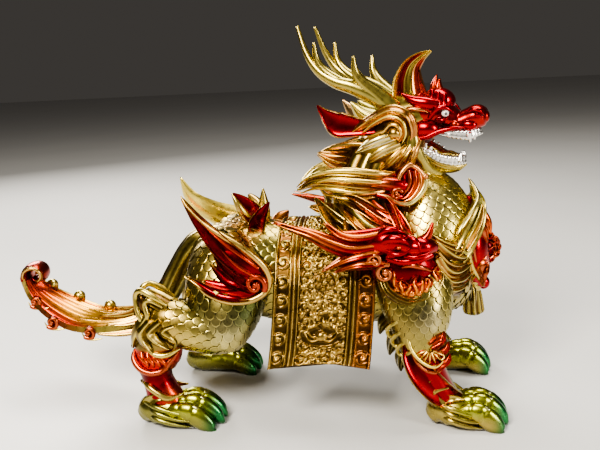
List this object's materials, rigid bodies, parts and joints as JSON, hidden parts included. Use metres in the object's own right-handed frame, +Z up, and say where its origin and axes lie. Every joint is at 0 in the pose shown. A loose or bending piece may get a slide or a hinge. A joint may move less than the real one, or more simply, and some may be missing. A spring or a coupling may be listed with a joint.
{
  "type": "qilin figure",
  "caption": "Cast and lacquered figure of a standing qilin with antlers, flaming mane, saddle cloth and raised leaf-shaped tail, an ornament for a shelf or desk.",
  "frame": {"origin": "on the ground under the middle of the figure, with the soles at Z = 0", "axes": "+X from the tail to the chest, +Y to the figure's left side, +Z up"},
  "size_m": [0.2626, 0.0984, 0.1962],
  "materials": {
    "lacquered_alloy": "gold metallic lacquer with clear red and green tints, glossy"
  },
  "bodies": {
    "root": {"qilin_figure": "lacquered_alloy"}
  },
  "joints": []
}
